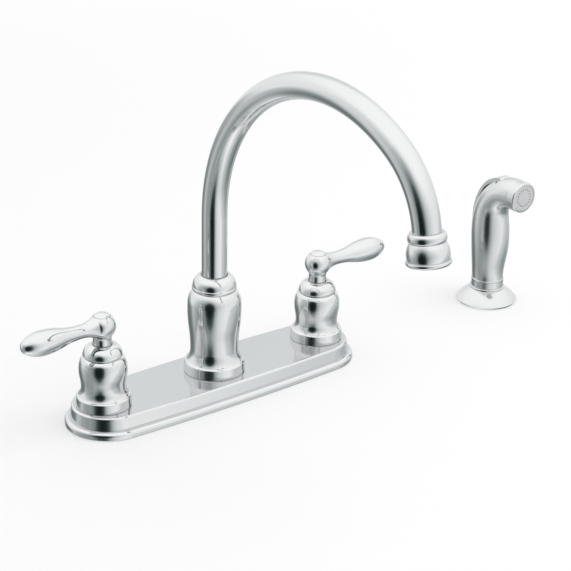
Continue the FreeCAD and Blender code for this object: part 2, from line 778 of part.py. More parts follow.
def lever_corners(sign):
    """Half outline of the arm: a waist by the ball, a full belly and a round tip, all tangent."""
    nose = dim.lever_tip_radius
    belly = dim.lever_belly_radius
    waist = dim.lever_waist_radius
    waist_reach = dim.lever_tip_reach * LEVER_WAIST_SHARE
    belly_reach = dim.lever_tip_reach * LEVER_BELLY_SHARE
    run = dim.lever_tip_reach - belly_reach - nose
    flank = (run.value ** 2 + belly.value ** 2 - nose.value ** 2) / (2 * (belly.value - nose.value))
    along_share = run.value / (flank - nose.value)
    across_share = math.sqrt(1 - along_share ** 2)
    nose_centre = dim.lever_tip_reach - nose
    meeting = (nose_centre + nose * along_share, nose * across_share)
    middle_reach = (waist_reach + belly_reach) / 2
    nose_bow = math.tan(math.acos(along_share) / 4) / 2
    flank_bow = math.tan(math.asin(along_share) / 4) / 2
    sway_bow = smooth_bow(belly_reach - waist_reach, belly - waist)
    root_reach = dim.ball_radius * ROOT_REACH_SHARE
    root_rise = dim.ball_radius * ROOT_RISE_SHARE
    root_bow = smooth_bow(waist_reach - root_reach, root_rise - waist)
    return [
        (root_reach * sign, ZERO), (dim.lever_tip_reach * sign, ZERO, -sign * nose_bow),
        (meeting[0] * sign, meeting[1], -sign * flank_bow),
        (belly_reach * sign, belly, -sign * sway_bow),
        (middle_reach * sign, (waist + belly) / 2, sign * sway_bow),
        (waist_reach * sign, waist, sign * root_bow), (root_reach * sign, root_rise),
    ]


def make_lever(side, sign):
    """Neck and ball turned about the stem, with a drop-shaped arm turned about its own axis."""
    place = {"x": valve_reach * sign}
    lever = new_body(f"{side}_lever", **place)
    pole = ball_centre + dim.ball_radius
    fillet_reach = dim.ball_radius + dim.neck_fillet
    meeting_angle = math.acos((dim.neck_radius + dim.neck_fillet).value / fillet_reach.value)
    meeting = (dim.ball_radius * math.cos(meeting_angle),
               ball_centre - dim.ball_radius * math.sin(meeting_angle))
    fillet_foot = ball_centre - fillet_reach * math.sin(meeting_angle)
    fillet_bow = math.tan(meeting_angle / 4) / 2
    ball_bow = math.tan((math.pi / 2 + meeting_angle) / 4) / 2
    turn(lever, [
        (ZERO, neck_base), (dim.neck_radius, neck_base), (dim.neck_radius, fillet_foot, fillet_bow),
        (*meeting, -ball_bow), (ZERO, pole),
    ])
    turn(lever, lever_corners(sign), axis="H_Axis", offset=(ZERO, ball_centre, ZERO))
    socket = dim.spline_radius + dim.running_gap
    cut_turn(lever, ring_corners(ZERO, socket, neck_base - dim.cut_overrun, stem_tip + dim.seat_gap))
    cut_turn(lever, ring_corners(ZERO, dim.screw_radius + dim.seat_gap, stem_tip, screw_seat))
    cap_hole = dim.cap_radius + dim.cap_gap
    cut_turn(lever, ring_corners(ZERO, cap_hole, screw_seat, pole + dim.cut_overrun))

    screw = new_body(f"{side}_handle_screw", **place)
    head_top = screw_seat + dim.screw_head_height
    head_rise = dim.screw_head_height / 2
    turn(screw, [
        (ZERO, screw_seat - dim.screw_depth), (dim.screw_radius, screw_seat - dim.screw_depth),
        (dim.screw_radius, screw_seat), (dim.screw_head_radius, screw_seat),
        (dim.screw_head_radius, head_top - head_rise, -smooth_bow(dim.screw_head_radius, head_rise)),
        (ZERO, head_top),
    ])
    cap = new_body(f"{side}_handle_cap", **place)
    cap_share = dim.cap_radius.value / dim.ball_radius.value
    rim = ball_centre + dim.ball_radius * math.sqrt(1 - cap_share ** 2)
    cap_base = head_top + dim.cap_base_gap
    cap_crown = pole + dim.cap_rise
    turn(cap, [
        (ZERO, cap_base), (dim.cap_radius, cap_base),
        (dim.cap_radius, rim, -smooth_bow(dim.cap_radius, cap_crown - rim)), (ZERO, cap_crown),
    ])


# Spout
arc_end = math.radians(ARC_END_ANGLE)
outlet = math.radians(OUTLET_ANGLE)
post_bore = dim.post_radius - dim.post_wall
nut_bore = dim.post_radius + dim.running_gap
skirt_radius = nut_bore + dim.nut_wall
hub_bore = skirt_radius + dim.seat_gap
hub_groove = hub_bore + dim.hub_lip
hub_top = dim.post_top + dim.post_recess
flange_foot = dim.post_top + dim.bearing_thickness + dim.running_gap
flange_top = flange_foot + dim.flange_thickness
flange_radius = dim.post_radius - dim.flange_setback
bend_start = flange_top + dim.riser_length
spigot_radius = dim.tube_radius - dim.tube_wall - dim.running_gap
spout_waterway = spigot_radius - dim.spigot_wall
seat_top = dim.post_floor + dim.seat_thickness
poppet_foot = seat_top + dim.poppet_lift
poppet_top = poppet_foot + dim.poppet_height * 2
shank_base = poppet_top + dim.shank_clearance
spout_ring_feet = (shank_base + dim.spout_ring_lower, shank_base + dim.spout_ring_upper)
shank_outside = post_bore - dim.running_gap
arc_excess = dim.arc_radius - dim.tip_arc_radius
bend_end = (-(dim.arc_radius * (1 + math.cos(arc_end))), bend_start + dim.arc_radius * math.sin(arc_end))
tip_y = -(dim.arc_radius + arc_excess * math.cos(arc_end) + dim.tip_arc_radius * math.cos(outlet))
tip_z = bend_start + arc_excess * math.sin(arc_end) + dim.tip_arc_radius * math.sin(outlet)
outlet_y = tip_y - dim.aerator_socket * math.sin(outlet)
outlet_z = tip_z - dim.aerator_socket * math.cos(outlet)


def make_post():
    """Brass centre body: flange, bored barrel, two bosses and the spray hose nipple."""
    body = new_body("spout_post")
    flange_top = dim.gasket_thickness + dim.valve_flange_height
    turn(body, [
        (ZERO, -dim.nipple_length), (dim.nipple_radius, -dim.nipple_length),
        (dim.nipple_radius, dim.gasket_thickness), (dim.post_flange_radius, dim.gasket_thickness),
        (dim.post_flange_radius, flange_top), (dim.post_radius, flange_top),
        (dim.post_radius, dim.post_top), (ZERO, dim.post_top),
    ])
    add_port(body, dim.post_port_reach, 1)
    add_port(body, dim.post_port_reach, -1)
    cut_turn(body, [
        (ZERO, -dim.nipple_length - dim.cut_overrun), (dim.nipple_bore, -dim.nipple_length - dim.cut_overrun),
        (dim.nipple_bore, dim.post_floor), (post_bore, dim.post_floor),
        (post_bore, dim.post_top + dim.cut_overrun), (ZERO, dim.post_top + dim.cut_overrun),
    ])
    turned_ring("diverter_seat", dim.seat_bore, post_bore - dim.running_gap, dim.post_floor, seat_top)
    turned_ring("spout_bearing_washer", shank_outside + dim.seat_gap, dim.post_radius - dim.seat_gap,
                dim.post_top, dim.post_top + dim.bearing_thickness)


def make_diverter():
    """Poppet that rests just over its seat and lifts when the spray draws water."""
    body = new_body("diverter_poppet")
    stem = dim.seat_bore - dim.running_gap
    turn(body, [
        (ZERO, seat_top - dim.poppet_stem_depth), (stem, seat_top - dim.poppet_stem_depth),
        (stem, poppet_foot), (dim.poppet_radius, poppet_foot),
        (dim.poppet_radius, poppet_foot + dim.poppet_height,
         -smooth_bow(dim.poppet_radius, dim.poppet_height)),
        (ZERO, poppet_top),
    ])


def make_hub():
    hub = new_body("spout_hub")
    turn(hub, bell_corners(
        dim.hub_ring_radius, dim.hub_ring_top, (dim.hub_waist_radius, dim.hub_waist_height),
        (dim.hub_belly_radius, dim.hub_belly_drop), HUB_SHOULDER_SHARES, hub_groove, hub_top, hub_bore))
    nut = new_body("spout_nut")
    skirt_base = hub_top - dim.nut_skirt_depth
    throat = dim.tube_radius + dim.swing_gap
    belly = hub_top + dim.nut_bead_belly
    bead_top = hub_top + dim.nut_bead_height
    ceiling = flange_top + dim.nut_play
    turn(nut, [
        (nut_bore, skirt_base), (skirt_radius, skirt_base),
        (skirt_radius, hub_top), (hub_groove, hub_top, -BEAD_BOW_SHARE),
        (hub_groove + dim.nut_bead_rise, belly, -DOME_BOW_SHARE), (throat + dim.nut_lip, bead_top),
        (throat, bead_top), (throat, ceiling), (nut_bore, ceiling),
    ])


def make_spout_shank():
    body = new_body("spout_shank")
    groove = shank_outside - dim.spout_ring_depth
    spigot_top = flange_top + dim.spigot_length
    corners = [(spout_waterway, shank_base), (shank_outside, shank_base)]
    for foot in spout_ring_feet:
        top = foot + dim.ring_width
        corners += [(shank_outside, foot), (groove, foot), (groove, top), (shank_outside, top)]
    corners += [
        (shank_outside, flange_foot), (flange_radius, flange_foot),
        (flange_radius, flange_top), (spigot_radius, flange_top),
        (spigot_radius, spigot_top), (spout_waterway, spigot_top),
    ]
    turn(body, corners)
    for name, foot in zip(("lower", "upper"), spout_ring_feet):
        turned_ring(f"spout_o_ring_{name}", groove, shank_outside + dim.running_gap / 2, foot,
                    foot + dim.ring_width)


def make_spout_tube():
    """One bent tube: a straight riser, the wide arc and the tighter turn down to the outlet."""
    body = new_body("spout_tube")
    route = new_sketch(body, "YZ_Plane")
    arc_bow_share = math.tan((math.pi - arc_end) / 4) / 2
    tip_bow_share = math.tan((arc_end - outlet) / 4) / 2
    draw_path(route, [
        (ZERO, flange_top), (ZERO, bend_start, -arc_bow_share),
        (bend_end[0], bend_end[1], -tip_bow_share), (tip_y, tip_z), (outlet_y, outlet_z),
    ], closed=False)
    for kind, radius in (("Additive", dim.tube_radius), ("Subtractive", dim.tube_radius - dim.tube_wall)):
        section = draw_circle(new_sketch(body, "XY_Plane", (ZERO, ZERO, flange_top)), radius)
        pipe = body.newObject(f"PartDesign::{kind}Pipe", f"spout_tube_{kind}")
        pipe.Profile = section
        pipe.Spine = (route, [f"Edge{number}" for number in (1, 2, 3, 4)])
        doc.recompute()


def make_aerator():
    """Beaded, belled outlet on the tube's end, with its washer and strainer inside."""
    place = {"y": outlet_y, "z": outlet_z, "lean": -OUTLET_ANGLE}
    housing = new_body("aerator_housing", **place)
    socket = dim.tube_radius + dim.running_gap
    bead_foot = dim.aerator_socket - dim.aerator_bead_height
    bell_foot = bead_foot - dim.aerator_bell_length
    lip_foot = bell_foot - dim.aerator_lip_height
    turn(housing, [
        (socket, dim.aerator_socket), (socket, ZERO), (dim.aerator_bore, ZERO), (dim.aerator_bore, lip_foot),
        (dim.aerator_lip_radius - dim.tube_wall / 2, lip_foot, -BEAD_BOW_SHARE),
        (dim.aerator_lip_radius, bell_foot), (dim.aerator_bell_radius, bell_foot, -BELL_BOW_SHARE),
        (dim.aerator_groove_radius, bead_foot, -BEAD_BOW_SHARE / 2),
        (dim.aerator_bead_radius, (dim.aerator_socket + bead_foot) / 2, -BEAD_BOW_SHARE / 2),
        (dim.aerator_neck_radius, dim.aerator_socket),
    ])
    washer_foot = -dim.aerator_washer_thickness
    insert_radius = dim.aerator_bore - dim.running_gap
    turned_ring("aerator_washer", spout_waterway, insert_radius, washer_foot, ZERO, **place)
    insert = new_body("aerator_insert", **place)
    insert_foot = washer_foot - dim.aerator_insert_height
    turn(insert, ring_corners(ZERO, insert_radius, insert_foot, washer_foot))
    sketch = new_sketch(insert, "XY_Plane", (ZERO, ZERO, insert_foot))
    draw_circle(sketch, dim.aerator_hole_radius)
    for step in range(AERATOR_HOLE_COUNT):
        angle = 2 * math.pi * step / AERATOR_HOLE_COUNT
        draw_circle(sketch, dim.aerator_hole_radius, dim.aerator_hole_ring * math.cos(angle),
                    dim.aerator_hole_ring * math.sin(angle))
    pocket(insert, sketch, dim.aerator_insert_height, upward=True)


# Mounting hardware
def make_mounting(side, sign):
    place = {"x": valve_reach * sign}
    washer_foot = -dim.sink_thickness - dim.washer_thickness
    turned_ring(f"{side}_mounting_washer", dim.shank_radius + dim.swing_gap, dim.washer_radius,
                washer_foot, -dim.sink_thickness, **place)
    nut = new_body(f"{side}_mounting_nut", **place)
    nut_foot = washer_foot - dim.wing_nut_height
    bore = dim.shank_radius + dim.running_gap
    turn(nut, ring_corners(bore, dim.wing_nut_radius, nut_foot, washer_foot))
    for way in (-1, 1):
        wing = new_sketch(nut, "XY_Plane", (ZERO, ZERO, nut_foot))
        inner = (bore + dim.wing_nut_radius) / 2 * way
        outer = dim.wing_span / 2 * way
        half = dim.wing_width / 2 * way
        draw_path(wing, [(inner, -half), (outer, -half), (outer, half), (inner, half)], closed=True)
        pad(nut, wing, dim.wing_height)


# Side spray
holder_bore = dim.hose_spigot_radius + dim.holder_gap
holder_shank = holder_bore + dim.holder_wall
holder_lip = holder_bore + dim.holder_lip
ferrule_bore = dim.hose_spigot_radius + dim.ferrule_gap
ferrule_radius = ferrule_bore + dim.ferrule_wall
grip_foot_radius = ferrule_radius - dim.grip_step
nozzle_bore = dim.head_radius - dim.nozzle_wall
def make_spray_holder():
    place = {"x": dim.spray_offset}
    holder = new_body("spray_holder", **place)
    lip_step = dim.holder_crease_radius - holder_lip
    turn(holder, [
        (holder_bore, -dim.holder_shank_length), (holder_shank, -dim.holder_shank_length),
        (holder_shank, dim.holder_pad_thickness),
        (dim.holder_pad_radius, dim.holder_pad_thickness),
        (dim.holder_pad_radius, ZERO), (dim.holder_radius - lip_step, ZERO),
        (dim.holder_radius, dim.holder_rim, -SKIRT_BOW_SHARE),
        (dim.holder_crease_radius, dim.holder_crease_height),
        (dim.holder_crease_radius - lip_step / 2, dim.holder_crease_height + lip_step / 2),
        (dim.holder_crease_radius, dim.holder_top - lip_step, -BEAD_BOW_SHARE),
        (holder_lip, dim.holder_top), (holder_bore, dim.holder_top),
    ])
    turned_ring("spray_holder_gasket", holder_shank + dim.seat_gap,
                dim.holder_pad_radius - dim.seat_gap, ZERO, dim.holder_pad_thickness, **place)
    nut_top = -dim.sink_thickness
    turned_ring("spray_holder_nut", holder_shank + dim.running_gap, dim.holder_nut_radius,
                nut_top - dim.holder_nut_height, nut_top, **place)


ferrule_foot = dim.holder_top + dim.running_gap
grip_foot = ferrule_foot + dim.ferrule_height
head_front = -dim.head_length
plunger_tip = dim.trigger_foot_shift - dim.trigger_thickness - dim.plunger_setback


def make_spray_body():
    """Grip that swells upward and bends over into a level nozzle head, with a slot for the trigger."""
    body = new_body("spray_body", x=dim.spray_offset)
    stations = (
        (ZERO, grip_foot, ZERO, grip_foot_radius),
        (ZERO, dim.grip_lower_height, ZERO, dim.grip_lower_radius),
        (ZERO, dim.grip_belly_height, ZERO, dim.grip_belly_radius),
        (dim.grip_upper_shift, dim.grip_upper_height, GRIP_UPPER_LEAN, dim.grip_upper_radius),
        (-dim.crook_shift, dim.crook_height, CROOK_LEAN, dim.crook_radius),
        (-dim.head_root_shift, dim.head_root_height, HEAD_ROOT_LEAN, dim.head_root_radius),
        (head_front, dim.head_height, UPRIGHT, dim.head_radius),
    )
    sections = []
    for shift, height, lean, radius in stations:
        sections.append(draw_circle(new_sketch(body, "XY_Plane", (ZERO, shift, height), lean), radius))
    loft(body, sections)
    cut_trigger_slot(body)
    bore = draw_circle(new_sketch(body, "XZ_Plane", (ZERO, ZERO, -plunger_tip)),
                       dim.plunger_radius + dim.running_gap, ZERO, dim.plunger_height)
    pocket(body, bore, dim.plunger_length + dim.plunger_stroke, upward=True)


def cut_trigger_slot(body):
    """Slot down the back of the head with room for the trigger to swing in, and its pin's hole."""
    outside = dim.trigger_foot_shift + dim.cut_overrun * 2
    above = dim.trigger_pivot_height + dim.head_radius
    slot = draw_path(new_sketch(body, "YZ_Plane"), [
        (-dim.slot_root_shift, dim.slot_root_height), (dim.slot_bend_shift, dim.slot_bend_height),
        (dim.slot_foot_shift, dim.trigger_foot_height), (dim.slot_foot_shift, dim.slot_foot_height),
        (outside, dim.slot_foot_height), (outside, above), (-dim.slot_root_shift, above),
    ], closed=True)
    pocket(body, slot, dim.trigger_width + dim.seat_gap * 2, upward=False).Midplane = True
    pin = draw_circle(new_sketch(body, "YZ_Plane"), dim.trigger_pin_radius + dim.running_gap,
                      -dim.trigger_pivot_shift, dim.trigger_pivot_height)
    pocket(body, pin, dim.trigger_pin_length + dim.cut_overrun * 4, upward=False).Midplane = True


def make_spray_fittings():
    place = {"x": dim.spray_offset}
    ferrule = new_body("spray_ferrule", **place)
    line_depth = dim.grip_step * 2
    line_foot = grip_foot - line_depth * 2
    turn(ferrule, [
        (ferrule_bore, ferrule_foot), (ferrule_radius, ferrule_foot),
        (ferrule_radius, line_foot), (ferrule_radius - line_depth, line_foot),
        (ferrule_radius - line_depth, line_foot + line_depth),
        (ferrule_radius, line_foot + line_depth),
        (grip_foot_radius, grip_foot), (ferrule_bore, grip_foot),
    ])
    nipple = new_body("spray_hose_nipple", **place)
    turn(nipple, [
        (dim.hose_bore, -dim.hose_spigot_length - dim.hose_end_length),
        (dim.hose_end_radius, -dim.hose_spigot_length - dim.hose_end_length),
        (dim.hose_end_radius, -dim.hose_spigot_length), (dim.hose_spigot_radius, -dim.hose_spigot_length),
        (dim.hose_spigot_radius, grip_foot), (dim.hose_bore, grip_foot),
    ])
    turned_nozzle = {"x": dim.spray_offset, "y": head_front, "z": dim.head_height, "lean": UPRIGHT}
    nozzle = new_body("spray_nozzle", **turned_nozzle)
    turn(nozzle, [
        (nozzle_bore, ZERO), (dim.head_radius, ZERO),
        (dim.head_radius, dim.nozzle_length - dim.nozzle_round, -QUARTER_BOW_SHARE),
        (dim.head_radius - dim.nozzle_round, dim.nozzle_length), (nozzle_bore, dim.nozzle_length),
    ])
    face = new_body("spray_face", **turned_nozzle)
    face_back = dim.nozzle_length - dim.face_recess - dim.face_depth
    turn(face, ring_corners(ZERO, nozzle_bore - dim.running_gap, face_back, face_back + dim.face_depth))
    sketch = new_sketch(face, "XY_Plane", (ZERO, ZERO, face_back))
    for step in range(JET_COUNT):
        angle = 2 * math.pi * step / JET_COUNT
        draw_circle(sketch, dim.jet_radius, dim.jet_ring * math.cos(angle), dim.jet_ring * math.sin(angle))
    pocket(face, sketch, dim.face_depth, upward=True)


def make_trigger():
    """Thumb lever that lies along the back of the spray head, from its hinge down to a free foot."""
    body = new_body("spray_trigger", x=dim.spray_offset)
    pivot = (-dim.trigger_pivot_shift, dim.trigger_pivot_height)
    bend = (dim.trigger_bend_shift, dim.trigger_bend_height)
    foot = (dim.trigger_foot_shift, dim.trigger_foot_height)
    thick = dim.trigger_thickness
    inset = thick * math.sqrt(0.5)
    sketch = new_sketch(body, "YZ_Plane")
    draw_path(sketch, [
        (pivot[0], pivot[1], TRIGGER_BOW_SHARE), (bend[0] - inset, bend[1] - inset, TRIGGER_BOW_SHARE),
        (foot[0] - thick, foot[1]), (foot[0], foot[1], -TRIGGER_BOW_SHARE),
        (bend[0], bend[1], -TRIGGER_BOW_SHARE), (pivot[0], pivot[1] + dim.trigger_knuckle),
    ], closed=True)
    pad(body, sketch, dim.trigger_width, both_ways=True)
    knuckle = draw_circle(new_sketch(body, "YZ_Plane"), dim.trigger_knuckle, *pivot)
    pad(body, knuckle, dim.trigger_width, both_ways=True)
    hole = draw_circle(new_sketch(body, "YZ_Plane"), dim.trigger_pin_radius + dim.running_gap, *pivot)
    pocket(body, hole, dim.trigger_width + dim.cut_overrun, upward=False).Midplane = True

    pin = new_body("trigger_pin", x=dim.spray_offset)
    sketch = draw_circle(new_sketch(pin, "YZ_Plane"), dim.trigger_pin_radius, *pivot)
    pad(pin, sketch, dim.trigger_pin_length, both_ways=True)

    plunger = new_body("spray_plunger", x=dim.spray_offset, y=plunger_tip, z=dim.plunger_height, lean=UPRIGHT)
    turn(plunger, ring_corners(ZERO, dim.plunger_radius, ZERO, dim.plunger_length))


def main():
    make_deck()
    for side, sign in SIDES:
        make_valve_body(side, sign)
        make_crossover(side, sign)
        make_cartridge(side, sign)
        make_bonnet(side, sign)
        make_lever(side, sign)
        make_mounting(side, sign)
    make_post()
    make_diverter()
    make_hub()
    make_spout_shank()
    make_spout_tube()
    make_aerator()
    make_spray_holder()
    make_spray_body()
    make_spray_fittings()
    make_trigger()
    doc.recompute()
    check_document()
    os.makedirs("parts", exist_ok=True)
    for body in SUB_PARTS:
        body.Shape.exportStep(f"parts/{body.Label}.step")
    print(len(SUB_PARTS), "sub-parts written")


def check_document():
    """Stop before anything is written if an object failed or a solid is not sound."""
    faults = [item.Name for item in doc.Objects if {"Invalid", "Error"} & set(item.State)]
    for body in SUB_PARTS:
        shape = body.Shape
        if shape.isNull() or not shape.isValid() or len(shape.Solids) != 1:
            faults.append(f"{body.Label} solids {0 if shape.isNull() else len(shape.Solids)}")
    if faults:
        raise RuntimeError("faulty objects: " + ", ".join(faults))


main()
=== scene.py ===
import json
import math

import bpy
from mathutils import Matrix, Vector

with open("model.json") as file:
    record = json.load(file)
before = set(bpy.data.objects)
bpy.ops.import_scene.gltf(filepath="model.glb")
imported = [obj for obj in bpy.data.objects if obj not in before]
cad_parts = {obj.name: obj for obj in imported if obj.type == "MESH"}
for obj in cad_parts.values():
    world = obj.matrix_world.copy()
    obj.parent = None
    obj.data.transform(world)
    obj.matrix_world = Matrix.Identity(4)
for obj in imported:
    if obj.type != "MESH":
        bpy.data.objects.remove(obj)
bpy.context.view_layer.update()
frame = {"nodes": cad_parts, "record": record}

UP = Vector((0.0, 0.0, 1.0))
WHITE = (1.0, 1.0, 1.0, 1.0)
MM_PER_METRE = 1000.0


# Shader nodes
class Nodes:
    """The node tree of a material or world, built by joining the outputs of nodes to later nodes."""

    def __init__(self, owner):
        owner.use_nodes = True
        self.tree = owner.node_tree
        self.tree.nodes.clear()

    def add(self, kind, inputs, **settings):
        """A node whose inputs are joined to sockets or set to plain values."""
        node = self.tree.nodes.new("ShaderNode" + kind)
        for name, value in settings.items():
            setattr(node, name, value)
        for name, value in inputs.items():
            if isinstance(value, bpy.types.NodeSocket):
                self.tree.links.new(value, node.inputs[name])
            else:
                node.inputs[name].default_value = value
        return node

    def result(self, kind, inputs, **settings):
        """The first output of a new node."""
        return self.add(kind, inputs, **settings).outputs[0]

    def source(self, kind):
        """The outputs of a node that takes no inputs."""
        return self.add(kind, {}).outputs

    def maths(self, operation, *values):
        """The result of one operation on sockets or numbers."""
        return self.result("Math", dict(enumerate(values)), operation=operation)

    def vector_maths(self, operation, *values):
        """The outputs, Vector and Value, of one operation on vectors."""
        return self.add("VectorMath", dict(enumerate(values)), operation=operation).outputs

    def curve(self, value, stops):
        """The level at a value, on a soft curve through (value, level) stops."""
        low = stops[0][0]
        high = stops[-1][0]
        share = self.result("MapRange", {"Value": value, "From Min": low, "From Max": high})
        node = self.add("ValToRGB", {0: share})
        ramp = node.color_ramp
        ramp.interpolation = "EASE"
        ready = len(ramp.elements)
        for number, (stop_value, level) in enumerate(stops):
            place = (stop_value - low) / (high - low)
            stop = ramp.elements[number] if number < ready else ramp.elements.new(place)
            stop.position = place
            stop.color = (level, level, level, 1.0)
        return node.outputs[0]

    def show(self, shader, output="OutputMaterial"):
        """Make a shader what the material or world shows."""
        self.add(output, {"Surface": shader})


# Finishes
NOISE_DETAIL = 3.0
BUMP_STRENGTH = 0.3
# Painted shade inside the spray jets: the colour left by depth in metres
HOLE_SHADE_LEVELS = ((0.0, 1.0), (0.00003, 1.0), (0.00008, 0.04), (0.005, 0.03))
# Front of the spray face, across Y, where its jets open
SPRAY_FRONT = min(vertex.co.y for vertex in frame["nodes"]["spray_face"].data.vertices)


def painted_hole_shade(nodes, colour, front):
    """The colour at a front plane across Y, with painted shade, nearly black, in the holes behind it."""
    along = nodes.add("SeparateXYZ", {0: nodes.source("TexCoord")["Object"]}).outputs["Y"]
    kept = nodes.curve(along, [(front + depth, level) for depth, level in HOLE_SHADE_LEVELS])
    both = {"Fac": 1.0, "Color1": colour, "Color2": kept}
    return nodes.result("MixRGB", both, blend_type="MULTIPLY")


def surface(name, colours, metallic, rough, scale, bump_mm=0.0, front=None):
    """A procedural finish: two close colours, a roughness range and a fine bump, all from one noise.

    The noise is in the object's own frame, so that it stays on the surface.
    """
    material = bpy.data.materials.new(name)
    nodes = Nodes(material)
    place = nodes.source("TexCoord")["Object"]
    noise = nodes.result("TexNoise", {"Vector": place, "Scale": scale, "Detail": NOISE_DETAIL})
    first, second = [(*colour, 1.0) for colour in colours]
    colour = nodes.result("MixRGB", {"Fac": noise, "Color1": first, "Color2": second})
    # Painted shade: nearly black inside the jets' holes, behind the front plane
    if front is not None:
        colour = painted_hole_shade(nodes, colour, front)
    low, high = rough
    roughness = nodes.result("MapRange", {"Value": noise, "To Min": low, "To Max": high})
    inputs = {"Base Color": colour, "Metallic": metallic, "Roughness": roughness}
    if bump_mm:
        relief = {"Strength": BUMP_STRENGTH, "Distance": bump_mm / MM_PER_METRE, "Height": noise}
        inputs["Normal"] = nodes.result("Bump", relief)
    nodes.show(nodes.result("BsdfPrincipled", inputs))
    return material


# Finish of each material slot
FINISHES = {
    "chrome": surface(
        "polished_chrome", colours=((0.88, 0.89, 0.89), (0.91, 0.915, 0.92)),
        metallic=1.0, rough=(0.06, 0.09), scale=14.0),
    "plated_plastic": surface(
        "plated_plastic", colours=((0.86, 0.87, 0.87), (0.90, 0.905, 0.91)),
        metallic=1.0, rough=(0.17, 0.21), scale=18.0),
    # The spray face has painted shade inside its jets' holes
    "grey_plastic": surface(
        "spray_face_grey_painted_holes", colours=((0.60, 0.61, 0.62), (0.66, 0.67, 0.68)),
        metallic=0.0, rough=(0.30, 0.40), scale=60.0, bump_mm=0.02, front=SPRAY_FRONT),
    "moulded_plastic": surface(
        "moulded_acetal", colours=((0.72, 0.71, 0.66), (0.78, 0.77, 0.73)),
        metallic=0.0, rough=(0.40, 0.55), scale=90.0, bump_mm=0.03),
    "rubber": surface(
        "black_rubber", colours=((0.03, 0.03, 0.03), (0.06, 0.06, 0.06)),
        metallic=0.0, rough=(0.65, 0.85), scale=160.0, bump_mm=0.05),
    "ceramic": surface(
        "lapped_ceramic", colours=((0.82, 0.81, 0.76), (0.88, 0.87, 0.83)),
        metallic=0.0, rough=(0.15, 0.25), scale=120.0, bump_mm=0.01),
    "steel": surface(
        "stainless_steel", colours=((0.55, 0.55, 0.56), (0.66, 0.66, 0.66)),
        metallic=1.0, rough=(0.25, 0.38), scale=80.0, bump_mm=0.01),
    "brass": surface(
        "machined_brass", colours=((0.64, 0.46, 0.20), (0.76, 0.58, 0.30)),
        metallic=1.0, rough=(0.22, 0.36), scale=70.0, bump_mm=0.01),
}


def dress_nodes():
    """Give every CAD node the finish of its slot in the record."""
    slots = {part["node"]: part["material_slot"] for part in frame["record"]["subparts"]}
    for name, node in frame["nodes"].items():
        node.data.materials.clear()
        node.data.materials.append(FINISHES[slots[name]])


# Floor: its lengths in metres and its colour
DECK_PLANE = 0.0
FLOOR_GAP = 0.0003
FLOOR_SIDE = 12.0
FLOOR_COLOUR = (0.46, 0.46, 0.46, 1.0)
# White added to the floor by distance from the frame's origin, so that its far rim meets the backdrop
FLOOR_GLOW = ((0.0, 0.43), (0.5, 0.43), (2.5, 0.55), (9.0, 0.55))
SHEET_CORNERS = ((-1, -1), (1, -1), (1, 1), (-1, 1))


def add_sheet(name, half_across, half_up, height):
    """A flat rectangle across its own Z, at a height above its own origin."""
    corners = [(across * half_across, up * half_up, height) for across, up in SHEET_CORNERS]
    mesh = bpy.data.meshes.new(name)
    mesh.from_pydata(corners, [], [range(len(corners))])
    sheet = bpy.data.objects.new(name, mesh)
    bpy.context.scene.collection.objects.link(sheet)
    return sheet


def seen_directly(nodes):
    """1 for camera, glossy and transmission rays, 0 for light that falls on a surface."""
    path = nodes.source("LightPath")
    camera_or_glossy = nodes.maths("MAXIMUM", path["Is Camera Ray"], path["Is Glossy Ray"])
    return nodes.maths("MAXIMUM", camera_or_glossy, path["Is Transmission Ray"])


def add_floor():
    """A white sink deck that keeps the shadow; the metal sees the studio's own gradient below."""
    floor = add_sheet("floor", FLOOR_SIDE / 2, FLOOR_SIDE / 2, DECK_PLANE - FLOOR_GAP)
    material = bpy.data.materials.new("floor_white")
    nodes = Nodes(material)
    away = nodes.vector_maths("LENGTH", nodes.source("TexCoord")["Object"])["Value"]
    strength = nodes.maths("MULTIPLY", seen_directly(nodes), nodes.curve(away, FLOOR_GLOW))
    shade = nodes.result("BsdfDiffuse", {"Color": FLOOR_COLOUR})
    glow = nodes.result("Emission", {"Color": WHITE, "Strength": strength})
    nodes.show(nodes.result("AddShader", {0: shade, 1: glow}))
    floor.data.materials.append(material)
    floor.visible_glossy = False


# Studio: its own front, from which its flags and its card are turned
STUDIO_AZIMUTH = math.radians(-35.69)
# Brightness by height, from straight down to straight up, in degrees
HEIGHT_LEVELS = ((-90, 1.0), (-75, 1.0), (-62, 0.88), (-52, 0.78), (-42, 0.72), (-32, 0.84), (-22, 0.87),
                 (-10, 0.87), (0, 0.83), (12, 0.845), (24, 0.89), (36, 0.95), (50, 0.98), (90, 1.0))
# Soft dark flags: where each stands, in degrees across and up, and how much light it leaves by the angle
# from its middle in degrees
FLAGS = (
    ((-45, -9), ((0, 0.41), (20, 0.44), (35, 0.62), (50, 0.88), (62, 1.0))),
    ((8, 0), ((0, 0.76), (15, 0.79), (30, 0.90), (45, 1.0))),
    ((-136, -27), ((0, 0.17), (10, 0.27), (20, 0.47), (32, 1.0))),
    ((118, -51), ((0, 0.26), (20, 0.38), (40, 0.69), (56, 1.0))),
    ((180, 23), ((0, 0.80), (10, 0.82), (22, 0.97), (32, 1.0))),
    ((-92, -39), ((0, 0.47), (20, 0.67), (40, 1.0))),
)
# Light kept at each further bounce from one chromed surface to another
BOUNCE_SHARE = 0.75
# Power that makes red fall a little faster than green and blue where the studio is dark
COOL_POWER = 1.08
FILL_STRENGTH = 1.0


def toward(across_degrees, up_degrees):
    """Unit direction, turned from the studio's front and raised from level."""
    across = STUDIO_AZIMUTH + math.radians(across_degrees)
    rise = math.radians(up_degrees)
    level = math.cos(rise)
    return Vector((math.sin(across) * level, -math.cos(across) * level, math.sin(rise)))


def cool(nodes, level):
    """A grey of this level, slightly cooler the darker it is."""
    red = nodes.maths("POWER", level, COOL_POWER)
    return nodes.result("CombineColor", {"Red": red, "Green": level, "Blue": level})


